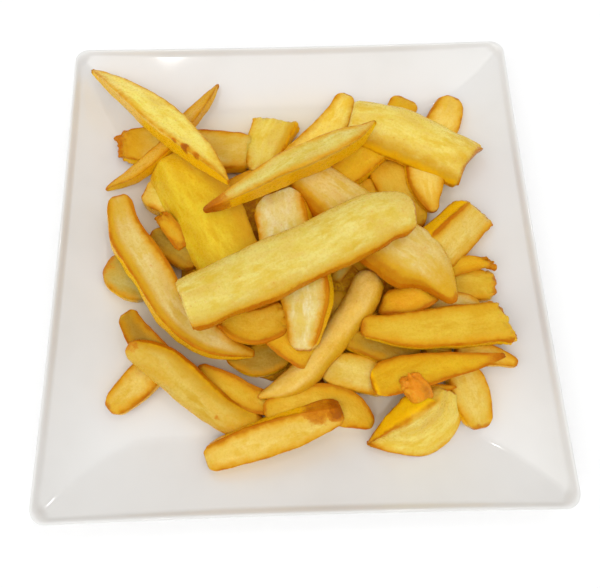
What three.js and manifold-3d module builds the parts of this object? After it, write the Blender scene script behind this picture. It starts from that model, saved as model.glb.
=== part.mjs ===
// A portion of thick-cut fries heaped on a shallow square plate.
// Millimetres, +Z up, origin at the middle of the plate's foot, on the table.
import * as THREE from 'three';
import Module from 'manifold-3d';

// Driving dimensions of the plate
const PLATE_SIDE = 220;
const SIDE_BOW = 0.8;         // how far the middle of each side pulls in
const CORNER_RADIUS = 6.5;
const RIM_HEIGHT = 20;
const EDGE_THICKNESS = 3;     // height of the rim's outer face
const FLOOR_HEIGHT = 5.5;     // top of the flat floor
const WALL_THICKNESS = 4;
const RIM_ROUND = 0.6;        // small chamfer on both edges of the rim's face
const CREST_INSET = 0.8;      // from the rim's face to its highest line
const SIDE_DISH_START = 60;   // left and right walls curve up softly from here
const SIDE_DISH_POWER = 2.6;
const END_DISH_START = 78;    // front and back walls rise more sharply from here
const END_DISH_POWER = 1.3;
const END_DISH_ONSET = 0.12;  // share of those walls over which they start softly
const FOOT_OUTER = 68;        // half widths of the square foot ring
const FOOT_INNER = 62;
const FOOT_HEIGHT = 1.5;

// Driving dimensions of the heap
const GAP = 0.3;              // clearance between the fries and the plate
const CORE_RADIUS = 56;
const CORE_STRETCH = 1.12;    // the core is a little wider than it is deep
const CORE_TOP = 21;
const CORE_CENTRE = [2, -6];
const CORE_LEVELS = 5;
const CORE_STEPS = 28;
const STATION_STEP = 12;      // spacing of the sections along a fry
const TIP_SCALE = 0.6;        // size of the end face of a rounded end
const LEAST_END = 1.6;        // shortest rounded end
const END_SHARE = 1 / 3;      // length of a rounded end over the fry's width or depth there
const TAPER_POWER = 0.65;     // how fast a narrowing fry gets thinner
const LEAST_TAPER = 1 / 10;   // and the share of its width below which it doesn't any more

// Steps used to draw the plate's outline, and how far in from the rim its surfaces are drawn
const SIDE_STEPS = 10;
const CORNER_STEPS = 4;
const DISH_INSETS = [2.5, 7, 13, 19, 25, 31, 39, PLATE_SIDE / 2 - SIDE_DISH_START];
const UNDER_INSETS = [30, 22, 14, 7, 3];
const CUT_DEPTH = -10;        // how far down the heap is cut away below the dish

const PORCELAIN = { color: 0xe9e7e4, roughness: 0.18, metalness: 0 };
const GOLDEN = { color: 0xe0b04a, roughness: 0.55, metalness: 0 };

const wasm = await Module();
wasm.setup();

// ---------------------------------------------------------------- outlines and surfaces

// Height of the plate's upper surface above the table, with creases where two walls meet.
function dishHeight(x, y) {
  const half = PLATE_SIDE / 2;
  const share = (distance, start) => Math.max(0, (Math.abs(distance) - start) / (half - start));
  const side = share(x, SIDE_DISH_START) ** SIDE_DISH_POWER;
  const out = share(y, END_DISH_START);
  const onset = (out + END_DISH_ONSET) / (1 + END_DISH_ONSET);
  const end = out ** 2 / onset ** (2 - END_DISH_POWER);
  return FLOOR_HEIGHT + (RIM_HEIGHT - FLOOR_HEIGHT) * Math.max(side, end);
}

// Rounded square with slightly hollow sides, set in from the rim, counter-clockwise from above.
function squareLoop(inset) {
  const half = PLATE_SIDE / 2 - inset;
  const radius = Math.max(CORNER_RADIUS - inset / 2, 1);
  const straight = half - radius;
  const points = [];
  for (let quarter = 0; quarter < 4; quarter++) {
    const turn = quarter * Math.PI / 2;
    for (let step = 0; step < SIDE_STEPS; step++) {
      const along = -straight + 2 * straight * step / SIDE_STEPS;
      const hollow = SIDE_BOW * (1 - (along / straight) ** 2);
      points.push(new THREE.Vector2(half - hollow, along).rotateAround(new THREE.Vector2(), turn));
    }
    for (let step = 0; step < CORNER_STEPS; step++) {
      const angle = step / CORNER_STEPS * Math.PI / 2;
      const corner = new THREE.Vector2(
        straight + radius * Math.cos(angle), straight + radius * Math.sin(angle));
      points.push(corner.rotateAround(new THREE.Vector2(), turn));
    }
  }
  return points;
}

// One ring of a plate-shaped body: the outline at an inset, at heights given by a function.
function ring(inset, heightAt) {
  return squareLoop(inset).map((p) => new THREE.Vector3(p.x, p.y, heightAt(p.x, p.y)));
}

// Closed surface through rings of equal length, with a flat fan over the first and the last ring.
// The rings run counter-clockwise when seen against the direction in which they follow each other.
function skin(rings) {
  const count = rings[0].length;
  const points = rings.flat();
  const indices = [];
  for (let row = 0; row + 1 < rings.length; row++) {
    for (let column = 0; column < count; column++) {
      const next = (column + 1) % count;
      const a = row * count + column;
      const b = row * count + next;
      indices.push(a, b, b + count, a, b + count, a + count);
    }
  }
  const last = (rings.length - 1) * count;
  const middle = (list) => list
    .reduce((sum, p) => sum.add(p), new THREE.Vector3()).divideScalar(list.length);
  const start = points.push(middle(rings[0])) - 1;
  const end = points.push(middle(rings[rings.length - 1])) - 1;
  for (let column = 0; column < count; column++) {
    const next = (column + 1) % count;
    indices.push(start, next, column);
    indices.push(end, last + column, last + next);
  }
  return { points, indices };
}

// ---------------------------------------------------------------- solids

function toSolid({ points, indices }) {
  return new wasm.Manifold(new wasm.Mesh({
    numProp: 3,
    vertProperties: new Float32Array(points.flatMap((p) => [p.x, p.y, p.z])),
    triVerts: new Uint32Array(indices),
  }));
}

function toMesh(name, solid, finish) {
  const { vertProperties, triVerts } = solid.getMesh();
  const geometry = new THREE.BufferGeometry();
  geometry.setAttribute('position', new THREE.BufferAttribute(vertProperties, 3));
  geometry.setIndex(new THREE.BufferAttribute(triVerts, 1));
  geometry.computeVertexNormals();
  const mesh = new THREE.Mesh(geometry, new THREE.MeshStandardMaterial(finish));
  mesh.name = name;
  return mesh;
}

// ---------------------------------------------------------------- plate

// The plate is drawn from the middle of its underside, out round the rim, to the middle of its floor.
function plateSolid() {
  const half = PLATE_SIDE / 2;
  const level = (height) => () => height;
  const under = (x, y) => dishHeight(x, y) - WALL_THICKNESS;
  const rings = [
    ring(half - FOOT_INNER + FOOT_HEIGHT, level(FOOT_HEIGHT)),
    ring(half - FOOT_INNER, level(0)),
    ring(half - FOOT_OUTER, level(0)),
    ring(half - FOOT_OUTER - FOOT_HEIGHT, under),
    ...UNDER_INSETS.map((inset) => ring(inset, under)),
    ring(RIM_ROUND, level(RIM_HEIGHT - EDGE_THICKNESS)),
    ring(0, level(RIM_HEIGHT - EDGE_THICKNESS + RIM_ROUND)),
    ring(0, level(RIM_HEIGHT - RIM_ROUND)),
    ring(CREST_INSET, level(RIM_HEIGHT)),
    ...DISH_INSETS.map((inset) => ring(inset, dishHeight)),
  ];
  return toSolid(skin(rings));
}

// Everything below the plate's upper surface, raised by the gap: cuts the heap to sit in the dish.
function belowDish() {
  const raised = (x, y) => dishHeight(x, y) + GAP;
  const rings = [ring(0, () => CUT_DEPTH), ...[0, ...DISH_INSETS].map((inset) => ring(inset, raised))];
  return toSolid(skin(rings));
}

// ---------------------------------------------------------------- fries

// Sections of the cuts, as fractions of half the width and half the depth,
// counter-clockwise as seen from the fry's far end.
const SECTIONS = {
  baton: [[1, -0.7], [1, 0.7], [0.8, 1], [-0.8, 1], [-1, 0.7], [-1, -0.7], [-0.8, -1], [0.8, -1]],
  slab: [[1, -0.5], [1, 0.5], [0.7, 1], [-0.7, 1], [-1, 0.5], [-1, -0.5], [-0.7, -1], [0.7, -1]],
  wedge: [[1, 0.8], [0.85, 1], [-0.85, 1], [-1, 0.8], [-0.15, -1], [0.15, -1]],
  roof: [[1, -0.75], [0.25, 0.95], [-0.25, 0.95], [-1, -0.75], [-0.8, -1], [0.8, -1]],
  dome: [[1, -0.4], [0.8, 0.4], [0.4, 0.9], [-0.4, 0.9], [-0.8, 0.4], [-1, -0.4], [-0.6, -0.9], [0.6, -0.9]],
};

// Each fry lies along a spine of [x, y, z] points. The spines and widths were computed outside this
// file, from places and widths picked by eye, and rounded to whole millimetres. The widths are
// spread evenly from end to end, the depth is the most it reaches, and roll turns the fry about its
// spine, in degrees: one angle, or a list of them spread from end to end.
function fry(cut, spine, widths, depth, roll = 0) {
  return { cut, spine, widths, depth, roll };
}

const FRIES = {
  // on the floor of the plate
  orange_slab: fry('slab', [[-87, 58, 13], [-71, 58, 12], [-51, 55, 12], [-20, 54, 11]],
    [14, 23, 23, 22, 19], 9),
  rear_chunk: fry('slab', [[-8, 71, 11], [-13, 57, 12], [-16, 41, 15]], [24, 21, 14], 9, -10),
  left_stub: fry('baton', [[-73, 34, 12], [-60, 29, 11], [-46, 21, 11]], [15, 18, 15], 10),
  thin_brown: fry('wedge', [[-64, 20, 17], [-57, 11, 16], [-52, 3, 15]], [7, 9, 6], 8),
  shaded_left: fry('slab', [[-69, 10, 14], [-58, 6, 13], [-45, -2, 12]], [11, 16, 16], 9),
  left_end: fry('slab', [[-88, -3, 13], [-78, -8, 12], [-65, -14, 11]], [15, 22, 18], 10),
  lower_left_stub: fry('slab', [[-83, -67, 12], [-74, -59, 11], [-62, -46, 11]], [10, 15, 14], 9),
  curled_tip: fry('wedge', [[-77, -26, 16], [-69, -38, 16], [-53, -52, 15]], [9, 13, 10], 10),
  gold_crescent: fry('wedge', [[-46, -51, 10], [-34, -58, 10], [-21, -65, 10], [-1, -69, 10]],
    [7, 12, 11, 8], 9, 8),
  pale_wedge: fry('slab', [[-33, -45, 10], [-20, -48, 11], [-4, -44, 12]], [6, 15, 12], 9),
  front_gold: fry('wedge', [[-17, -69, 14], [1, -67, 14], [18, -69, 12], [30, -76, 10]],
    [8, 14, 17, 16, 5], 10),
  pale_block: fry('slab', [[9, -52, 14], [21, -54, 13], [40, -59, 11]], [14, 17, 14], 9),
  under_right: fry('slab', [[19, -40, 18], [37, -45, 15], [53, -50, 12]], [8, 13, 10], 9),
  right_front_slab: fry('slab', [[70, -52, 12], [73, -66, 11], [76, -79, 11]], [15, 18, 11], 9),
  right_tip: fry('slab', [[68, -48, 14], [83, -49, 14], [94, -53, 16]], [9, 10, 4], 8),
  right_block: fry('slab', [[63, -16, 11], [79, -17, 12], [90, -18, 14]], [13, 16, 14], 9),
  ragged_sliver: fry('wedge', [[68, -11, 15], [79, -8, 16], [89, -9, 17]], [7, 8, 4], 7),
  behind_bit: fry('wedge', [[55, -24, 13], [66, -25, 13], [81, -30, 14]], [9, 12, 12], 8),
  gold_under: fry('wedge', [[37, -25, 14], [47, -25, 17], [59, -21, 20]], [10, 13, 11], 9),
  inner_bit: fry('wedge', [[26, 1, 15], [21, -7, 14], [17, -14, 12]], [8, 8, 5], 7),
  shaded_baton: fry('baton', [[42, 46, 11], [49, 30, 12], [57, 10, 13]], [17, 19, 15], 10),
  rear_peg: fry('baton', [[59, 81, 11], [47, 60, 14], [32, 44, 17], [18, 32, 19]], [14, 16, 15, 13], 9),
  rear_right_slab: fry('slab', [[83, 82, 11], [78, 71, 11], [70, 55, 12], [63, 38, 16], [63, 24, 18],
    [65, 17, 18]], [12, 17, 19, 22, 17, 5], 9),
  rear_slab: fry('slab', [[29, 85, 12], [20, 66, 14], [-3, 40, 18]], [9, 16, 17, 16], 9),

  // leaning on those
  left_sliver: fry('wedge', [[-91, 34, 14], [-77, 39, 17], [-62, 51, 19], [-49, 69, 18], [-42, 80, 17],
    [-37, 90, 16]], [1, 10, 10, 11, 8, 1], 8.4, 30),
  left_crescent: fry('baton', [[-83, 28, 21], [-78, 10, 21], [-66, -9, 21], [-51, -31, 20],
    [-34, -42, 17], [-20, -46, 14]], [10, 16, 17, 16, 14, 3], 10, 14),
  lower_left_long: fry('dome', [[-74, -42, 23], [-60, -49, 20], [-46, -61, 16], [-31, -72, 13],
    [-17, -76, 11]], [9, 18, 17, 15, 12], 10, -20),
  shell_slab: fry('slab', [[27, -84, 11], [37, -81, 14], [48, -77, 15], [58, -70, 16], [62, -63, 18]],
    [1, 17, 30, 29, 19], 14, -48),
  diagonal_tan: fry('dome', [[33, -11, 19], [28, -23, 20], [19, -35, 20], [9, -46, 20], [-2, -57, 18],
    [-19, -64, 15]], [16, 15, 14, 14, 14, 12, 2], 11),
  right_blocky: fry('baton', [[85, 18, 17], [73, 7, 19], [59, -5, 21]], [19, 21, 20], 11, 36),
  gold_fold: fry('wedge', [[-21, -25, 18], [-7, -40, 20], [5, -51, 21]], [12, 15, 11], 9),
  wide_yellow: fry('roof', [[-64, 46, 19], [-53, 32, 21], [-46, 22, 22], [-39, 9, 23], [-31, -6, 24],
    [-24, -19, 22]], [28, 35, 37, 35, 31, 22], 13, -16),
  ragged_fold: fry('slab', [[-35, -29, 20], [-21, -35, 22], [-4, -30, 22]], [10, 16, 14], 8),
  right_slab: fry('slab', [[26, -36, 22], [43, -38, 22], [65, -37, 21], [90, -35, 20]], [9, 16, 18, 18],
    10),
  curled_right: fry('wedge', [[30, -61, 18], [43, -58, 19], [59, -55, 20], [74, -53, 21],
    [87, -50, 22]], [15, 17, 13, 9, 2], 11, 20),
  front_baton: fry('baton', [[-41, -88, 12], [-23, -82, 14], [-1, -75, 17], [16, -70, 20]],
    [10, 14, 15, 14, 8], 11, [-4, -14, -36]),

  // lying over the middle
  upper_left_crescent: fry('wedge', [[-101, 97, 20], [-79, 76, 25], [-60, 57, 28], [-45, 43, 31],
    [-30, 28, 33]], [1, 11, 17, 19, 12, 1], 16, 31),
  crown_tan: fry('dome', [[2, 38, 24], [22, 18, 27], [43, -2, 28], [58, -13, 27], [67, -27, 26]],
    [21, 24, 27, 29, 31, 32, 20, 4], 12),
  rear_right_block: fry('dome', [[28, 65, 22], [47, 59, 22], [66, 50, 21], [86, 39, 20]],
    [24, 29, 29, 27], 14),
  centre_slab: fry('baton', [[-8, 28, 20], [-4, 4, 24], [3, -23, 27], [1, -46, 26]], [24, 25, 23, 11],
    11, -18),
  cross_crescent: fry('wedge', [[-41, 15, 33], [-27, 20, 35], [-4, 31, 36], [18, 41, 36], [30, 48, 36],
    [38, 56, 36]], [1, 9, 13, 15, 12, 1], 15, 26),
  crown_long: fry('dome', [[-48, -28, 39], [-26, -19, 39], [-11, -13, 40], [16, -1, 41], [34, 7, 42],
    [50, 9, 42]], [24, 26, 27, 26, 27, 18], 15),
  crispy_flake: fry('slab', [[42, -59, 24], [47, -63, 25], [50, -71, 21]], [7, 11, 7], 6, 10),
  curled_sliver: fry('wedge', [[52, -63, 18], [59, -63, 18], [66, -62, 17]], [5, 4, 1], 5, 20),
};

// Value of an evenly spread list at a fraction from 0 to 1.
function spread(list, fraction) {
  const place = fraction * (list.length - 1);
  const index = Math.min(Math.floor(place), list.length - 2);
  return THREE.MathUtils.lerp(list[index], list[index + 1], place - index);
}

// Distances along a fry at which its section is drawn: close together at the ends only.
function stations(length, endLength) {
  const inner = length - 2 * endLength;
  const steps = Math.max(2, Math.round(inner / STATION_STEP));
  const even = Array.from({ length: steps + 1 }, (_, k) => endLength + inner * k / steps);
  return [0, ...even, length];
}

function fryBody({ cut, spine, widths, depth, roll }) {
  const curve = new THREE.CatmullRomCurve3(spine.map((p) => new THREE.Vector3(...p)));
  const length = curve.getLength();
  const widest = Math.max(...widths);
  const rolls = [roll, roll].flat();
  const endWidth = Math.max(widths[0], widths[widths.length - 1]);
  const endLength = Math.max(LEAST_END, Math.min(endWidth, depth) * END_SHARE);
  const places = stations(length, endLength);
  const rings = places.map((distance, index) => {
    const fraction = distance / length;
    const width = spread(widths, fraction);
    const thickness = depth * Math.max(width / widest, LEAST_TAPER) ** TAPER_POWER;
    const turn = THREE.MathUtils.degToRad(spread(rolls, fraction));
    const isEnd = index === 0 || index === places.length - 1;
    const scale = isEnd ? TIP_SCALE : 1;
    const centre = curve.getPointAt(fraction);
    const along = curve.getTangentAt(fraction);
    const level = along.clone().cross(new THREE.Vector3(0, 0, 1)).normalize();
    const side = level.applyAxisAngle(along, -turn);
    const up = side.clone().cross(along);
    return SECTIONS[cut].map(([across, high]) => centre.clone()
      .addScaledVector(side, across * scale * width / 2)
      .addScaledVector(up, high * scale * thickness / 2));
  });
  return skin(rings.map((points) => points.reverse()));
}

// Low mound that fills the heap below its upper fries: a quarter of an ellipse turned about its middle.
function coreBody() {
  const base = FLOOR_HEIGHT - 1;
  const rings = Array.from({ length: CORE_LEVELS }, (_, level) => {
    const rise = level / CORE_LEVELS * Math.PI / 2;
    return Array.from({ length: CORE_STEPS }, (__, step) => {
      const angle = 2 * Math.PI * step / CORE_STEPS;
      return new THREE.Vector3(
        CORE_CENTRE[0] + CORE_RADIUS * CORE_STRETCH * Math.cos(rise) * Math.cos(angle),
        CORE_CENTRE[1] + CORE_RADIUS * Math.cos(rise) * Math.sin(angle),
        base + (CORE_TOP - base) * Math.sin(rise));
    });
  });
  return skin(rings);
}

function heapSolid() {
  let heap = toSolid(coreBody());
  for (const shape of Object.values(FRIES)) {
    heap = heap.add(toSolid(fryBody(shape)));
  }
  return heap.subtract(belowDish());
}

// ---------------------------------------------------------------- the object

const portion = new THREE.Group();
portion.add(toMesh('plate', plateSolid(), PORCELAIN));
portion.add(toMesh('fries_heap', heapSolid(), GOLDEN));

export default portion;
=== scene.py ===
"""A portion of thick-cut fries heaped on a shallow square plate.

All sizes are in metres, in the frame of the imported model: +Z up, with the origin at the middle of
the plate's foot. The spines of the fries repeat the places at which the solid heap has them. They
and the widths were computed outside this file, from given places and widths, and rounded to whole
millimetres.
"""

import logging
import math
import random
from dataclasses import dataclass, field
from enum import Enum
from functools import partial
from typing import Callable, Iterable, Sequence

import bpy
import numpy as np
from bpy.types import Material, Mesh, NodeSocket, Object
from mathutils import Matrix, Vector


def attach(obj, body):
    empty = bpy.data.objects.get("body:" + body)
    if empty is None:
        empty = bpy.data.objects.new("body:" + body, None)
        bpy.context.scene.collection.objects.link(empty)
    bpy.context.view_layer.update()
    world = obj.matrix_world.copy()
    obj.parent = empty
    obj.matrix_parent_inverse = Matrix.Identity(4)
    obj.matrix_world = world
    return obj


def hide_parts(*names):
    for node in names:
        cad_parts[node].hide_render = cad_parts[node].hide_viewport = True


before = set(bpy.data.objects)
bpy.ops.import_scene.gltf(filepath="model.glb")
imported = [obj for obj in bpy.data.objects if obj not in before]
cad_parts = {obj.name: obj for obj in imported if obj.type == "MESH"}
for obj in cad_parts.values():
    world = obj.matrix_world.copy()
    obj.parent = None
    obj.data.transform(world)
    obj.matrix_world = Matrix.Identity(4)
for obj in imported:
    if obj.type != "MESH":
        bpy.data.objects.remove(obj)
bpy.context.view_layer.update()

log = logging.getLogger("fries_portion")

MM = 0.001
BODY = "root"
SEED = 20
FIBRE_STRETCH = 3.0

Colour = tuple[float, float, float]
Point = tuple[float, float, float]


# ------------------------------------------------------------------ small helpers


def smoothstep(low: float, high: float, value: np.ndarray) -> np.ndarray:
    """Smooth ramp from 0 at low to 1 at high.

    Args:
        low: Value at which the ramp starts.
        high: Value at which it ends.
        value: Values to map.

    Returns:
        The mapped values.
    """
    share = np.clip((value - low) / (high - low), 0.0, 1.0)
    return share * share * (3.0 - 2.0 * share)


def spread(values: Sequence[float], share: float | np.ndarray) -> float | np.ndarray:
    """Value of an evenly spread list at a share of its length.

    Args:
        values: Values from the start to the end.
        share: Place between 0 and 1.

    Returns:
        The value there, between its neighbours.
    """
    return np.interp(share, np.linspace(0.0, 1.0, len(values)), values)


def enter_mode(mode: str) -> None:
    """Switches the active object to OBJECT or EDIT mode."""
    bpy.ops.object.mode_set(mode=mode)


def deselect() -> None:
    """Leaves no object selected."""
    bpy.ops.object.select_all(action="DESELECT")


def only(piece: Object) -> None:
    """Makes a piece the active and the only selected object."""
    deselect()
    piece.select_set(True)
    bpy.context.view_layer.objects.active = piece


def apply_modifier(piece: Object, kind: str, **settings: object) -> None:
    """Adds one modifier to a piece and applies it.

    Args:
        piece: Object to change.
        kind: Name of the modifier type.
        settings: Values of the modifier's properties.
    """
    only(piece)
    modifier = piece.modifiers.new(kind.title(), kind)
    for name, value in settings.items():
        setattr(modifier, name, value)
    bpy.ops.object.modifier_apply(modifier=modifier.name)


# ------------------------------------------------------------------ finishes


class NodeBench:
    """Adds and links the nodes of one material."""

    def __init__(self, name: str) -> None:
        """Starts a new node material of that name."""
        self.material = bpy.data.materials.new(name)
        self.material.use_nodes = True
        self.tree = self.material.node_tree
        self.tree.nodes.clear()
        self.shader = self.tree.nodes.new("ShaderNodeBsdfPrincipled")
        output = self.tree.nodes.new("ShaderNodeOutputMaterial")
        self.tree.links.new(self.shader.outputs["BSDF"], output.inputs["Surface"])
        self.place = self.tree.nodes.new("ShaderNodeTexCoord").outputs["Object"]

    def set(self, **values: float | Colour) -> None:
        """Sets sockets of the shader, named with underscores for spaces."""
        for name, value in values.items():
            socket = self.shader.inputs[name.replace("_", " ")]
            coloured = isinstance(value, tuple) and socket.type == "RGBA"
            socket.default_value = (*value, 1.0) if coloured else value

    def link(self, source: NodeSocket, socket: str) -> None:
        """Links a socket to one of the shader's inputs."""
        self.tree.links.new(source, self.shader.inputs[socket])

    def noise(self, scale: float, detail: float = 2.0, rough: float = 0.5,
              place: NodeSocket | None = None) -> NodeSocket:
        """Noise on the piece's own coordinates, or on others if they are given.

        Args:
            scale: Cells for each metre.
            detail: Octaves.
            rough: Strength of the finer octaves.
            place: Other coordinates.

        Returns:
            The factor socket.
        """
        node = self.tree.nodes.new("ShaderNodeTexNoise")
        node.inputs["Scale"].default_value = scale
        node.inputs["Detail"].default_value = detail
        node.inputs["Roughness"].default_value = rough
        self.tree.links.new(place or self.place, node.inputs["Vector"])
        return node.outputs["Fac"]

    def attribute(self, name: str, output: str = "Fac") -> NodeSocket:
        """What the mesh carries under a name, as Fac, Color or Vector."""
        node = self.tree.nodes.new("ShaderNodeAttribute")
        node.attribute_name = name
        return node.outputs[output]

    def math(self, operation: str, first: object, second: object = 0.0) -> NodeSocket:
        """One math node; each operand is a socket or a number."""
        node = self.tree.nodes.new("ShaderNodeMath")
        node.operation = operation
        for socket, value in zip(node.inputs, (first, second)):
            if isinstance(value, NodeSocket):
                self.tree.links.new(value, socket)
            else:
                socket.default_value = value
        return node.outputs[0]

    def ramp(self, source: NodeSocket, low: float, high: float,
             to_low: float = 0.0, to_high: float = 1.0) -> NodeSocket:
        """Smooth ramp of a socket's value.

        Args:
            source: Socket to map.
            low: Value at which the ramp starts.
            high: Value at which it ends.
            to_low: What low becomes.
            to_high: What high becomes.

        Returns:
            The mapped socket.
        """
        node = self.tree.nodes.new("ShaderNodeMapRange")
        node.interpolation_type = "SMOOTHSTEP"
        for socket, value in zip(node.inputs[1:5], (low, high, to_low, to_high)):
            socket.default_value = value
        self.tree.links.new(source, node.inputs[0])
        return node.outputs[0]

    def mix(self, share: object, first: object, second: object,
            blend: str = "MIX") -> NodeSocket:
        """Mixes two colours; share and colours are sockets or values."""
        node = self.tree.nodes.new("ShaderNodeMix")
        node.data_type = "RGBA"
        node.blend_type = blend
        for index, value in ((0, share), (6, first), (7, second)):
            socket = node.inputs[index]
            if isinstance(value, NodeSocket):
                self.tree.links.new(value, socket)
            else:
                socket.default_value = (*value, 1.0) if isinstance(value, tuple) else value
        return node.outputs[2]

    def bump(self, height: NodeSocket, distance: float, strength: float = 1.0,
             under: NodeSocket | None = None) -> NodeSocket:
        """Bump of a height socket, laid over another bump if one is given."""
        node = self.tree.nodes.new("ShaderNodeBump")
        node.inputs["Distance"].default_value = distance
        node.inputs["Strength"].default_value = strength
        self.tree.links.new(height, node.inputs["Height"])
        if under is not None:
            self.tree.links.new(under, node.inputs["Normal"])
        return node.outputs["Normal"]


@dataclass(frozen=True)
class FriedPotato:
    """Fried potato: pale cut faces, golden flanks, orange edges and brown spots."""

    gold: Colour = (0.93, 0.53, 0.004)
    orange: Colour = (0.73, 0.34, 0.008)
    tan: Colour = (0.68, 0.37, 0.015)
    toast: Colour = (0.56, 0.225, 0.004)
    rust: Colour = (0.64, 0.24, 0.01)
    amber: Colour = (0.52, 0.15, 0.002)
    brown: Colour = (0.36, 0.09, 0.003)
    dim: Colour = (0.93, 0.82, 0.42)
    # Paler flesh for patches in the middle of the faces: partly the potato's own translucent starch,
    # partly painted sheen.
    milk_and_sheen: Colour = (1.05, 1.13, 1.6)
    oil: Colour = (1.0, 0.86, 0.4)
    gloss: float = 0.3
    shine: tuple[float, float] = (0.3, 0.1)

    def build(self) -> Material:
        """Makes the material, which reads the attributes that each fry carries."""
        bench = NodeBench("fried_potato")
        broad = bench.noise(70.0, 2.0)
        mottle = bench.noise(300.0, 4.0, 0.6, bench.attribute("fibre", "Vector"))
        streaks = bench.noise(150.0, 4.0, 0.55, bench.attribute("fibre", "Vector"))
        lumps = bench.noise(260.0, 3.0, 0.6)
        grain = bench.noise(900.0, 3.0, 0.65)
        wander = bench.math("SUBTRACT", lumps, 0.5)

        def uneven(source: NodeSocket, amount: float) -> NodeSocket:
            """A value that wanders up and down by an amount."""
            return bench.math("ADD", source, bench.math("MULTIPLY", wander, amount))

        edge = bench.attribute("edge")
        flesh = bench.attribute("flesh", "Color")
        dimmed = bench.mix(1.0, flesh, self.dim, "MULTIPLY")
        milk_and_sheen = bench.mix(1.0, flesh, self.milk_and_sheen, "MULTIPLY")
        blotches = uneven(broad, 0.7)
        flesh = bench.mix(bench.ramp(blotches, 0.35, 0.65), dimmed, flesh)
        # Pale patches away from the edges: partly translucent flesh, partly painted sheen on the faces.
        inner = bench.ramp(edge, 1.5, 5.0, 0.25, 1.0)
        milk_and_sheen_patches = bench.math("MULTIPLY", bench.ramp(mottle, 0.38, 0.66), inner)
        flesh = bench.mix(milk_and_sheen_patches, flesh, milk_and_sheen)
        flesh = bench.mix(bench.ramp(grain, 0.35, 0.6, 0.3, 0.0), flesh, dimmed)
        flesh = bench.mix(bench.ramp(streaks, 0.52, 0.7, 0.0, 0.5), flesh, self.tan)

        halo = uneven(edge, 4.5)
        halo = bench.ramp(halo, 4.4, 0.0, 0.0, 0.95)
        browned = uneven(bench.attribute("browned"), 0.7)
        golden = uneven(bench.attribute("golden"), 0.7)
        colour = bench.mix(halo, flesh, self.orange)
        colour = bench.mix(bench.ramp(browned, 0.05, 0.95), colour, self.tan)
        colour = bench.mix(bench.ramp(browned, 0.9, 1.5), colour, self.toast)
        colour = bench.mix(bench.ramp(golden, 0.05, 0.95), colour, self.gold)

        near = uneven(edge, 2.6)
        colour = bench.mix(bench.ramp(near, 2.1, 0.2, 0.0, 0.7), colour, self.toast)
        line = uneven(edge, 1.8)
        line = bench.math("MULTIPLY", bench.ramp(line, 1.1, 0.2), bench.ramp(broad, 0.35, 0.6, 0.45, 0.95))
        tip = uneven(bench.attribute("tip"), 4.0)
        line = bench.math("MAXIMUM", line, bench.ramp(tip, 2.0, 0.2, 0.0, 0.85))
        colour = bench.mix(line, colour, self.amber)

        flecks = bench.math("MULTIPLY", bench.math("SUBTRACT", grain, 0.5), 1.6)
        scorch = uneven(bench.attribute("scorch"), 1.4)
        scorch = bench.math("ADD", scorch, flecks)
        colour = bench.mix(bench.ramp(scorch, 0.2, 0.8, 0.0, 0.9), colour, self.rust)
        colour = bench.mix(bench.ramp(scorch, 0.6, 1.3, 0.0, 0.85), colour, self.amber)
        colour = bench.mix(bench.ramp(scorch, 1.2, 1.9, 0.0, 0.85), colour, self.brown)
        # Painted shade: fries deep in the heap, and the core, are dimmed all over.
        colour = bench.mix(1.0, colour, bench.attribute("painted_shade", "Color"), "MULTIPLY")
        bench.link(colour, "Base Color")

        bench.link(bench.ramp(grain, 0.3, 0.7, self.gloss - 0.1, self.gloss + 0.14), "Roughness")
        crust = bench.math("MAXIMUM", halo, bench.math("MAXIMUM", browned, golden))
        relief = bench.bump(lumps, 0.9 * MM, 0.55)
        blisters = bench.math("MULTIPLY", grain, bench.ramp(crust, 0.2, 1.0, 0.4, 1.0))
        bench.link(bench.bump(blisters, 0.35 * MM, 0.6, relief), "Normal")
        bench.link(bench.ramp(crust, 0.0, 0.8, *self.shine), "Specular IOR Level")
        bench.set(Specular_Tint=self.oil, Subsurface_Weight=0.3)
        bench.set(Subsurface_Radius=(1.0, 0.5, 0.1), Subsurface_Scale=3.0 * MM)
        return bench.material


@dataclass(frozen=True)
class Porcelain:
    """White glaze with a faint film of grease on it, and a warm yellow tint around the fries that is
    partly oil and partly painted bounce light and reflection of the fries.
    """

    white: Colour = (0.79, 0.782, 0.764)
    greasy: Colour = (0.755, 0.744, 0.722)
    oil_and_bounce: Colour = (0.81, 0.72, 0.54)
    oil_and_bounce_reach: tuple[float, float] = (102 * MM, 70 * MM)

    def build(self) -> Material:
        """Makes the material."""
        bench = NodeBench("glazed_porcelain")
        patches = bench.noise(22.0, 3.0, 0.6)
        film = bench.ramp(patches, 0.4, 0.75)
        reach = bench.tree.nodes.new("ShaderNodeVectorMath")
        reach.operation = "LENGTH"
        bench.tree.links.new(bench.place, reach.inputs[0])
        oil_and_bounce_spread = bench.math("ADD", reach.outputs["Value"], bench.math("MULTIPLY", patches, 10 * MM))
        glaze = bench.mix(film, self.white, self.greasy)
        # Warm tint near the heap: partly an oil film, partly painted bounce light and reflection of the
        # fries.
        bench.link(bench.mix(bench.ramp(oil_and_bounce_spread, *self.oil_and_bounce_reach), glaze, self.oil_and_bounce), "Base Color")
        bench.link(bench.ramp(film, 0.0, 1.0, 0.07, 0.15), "Roughness")
        bench.link(bench.bump(bench.noise(60.0, 2.0), 0.4 * MM, 0.12), "Normal")
        return bench.material


@dataclass(frozen=True)
class TableTop:
    """Plain pale floor."""

    pale: Colour = (0.97, 0.97, 0.97)
    dusty: Colour = (0.94, 0.94, 0.94)

    def build(self) -> Material:
        """Makes the material."""
        bench = NodeBench("pale_table")
        dust = bench.ramp(bench.noise(3.0, 1.0), 0.2, 0.8, 0.0, 0.2)
        bench.link(bench.mix(dust, self.pale, self.dusty), "Base Color")
        bench.set(Roughness=0.8)
        return bench.material


# ------------------------------------------------------------------ the plate


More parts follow.
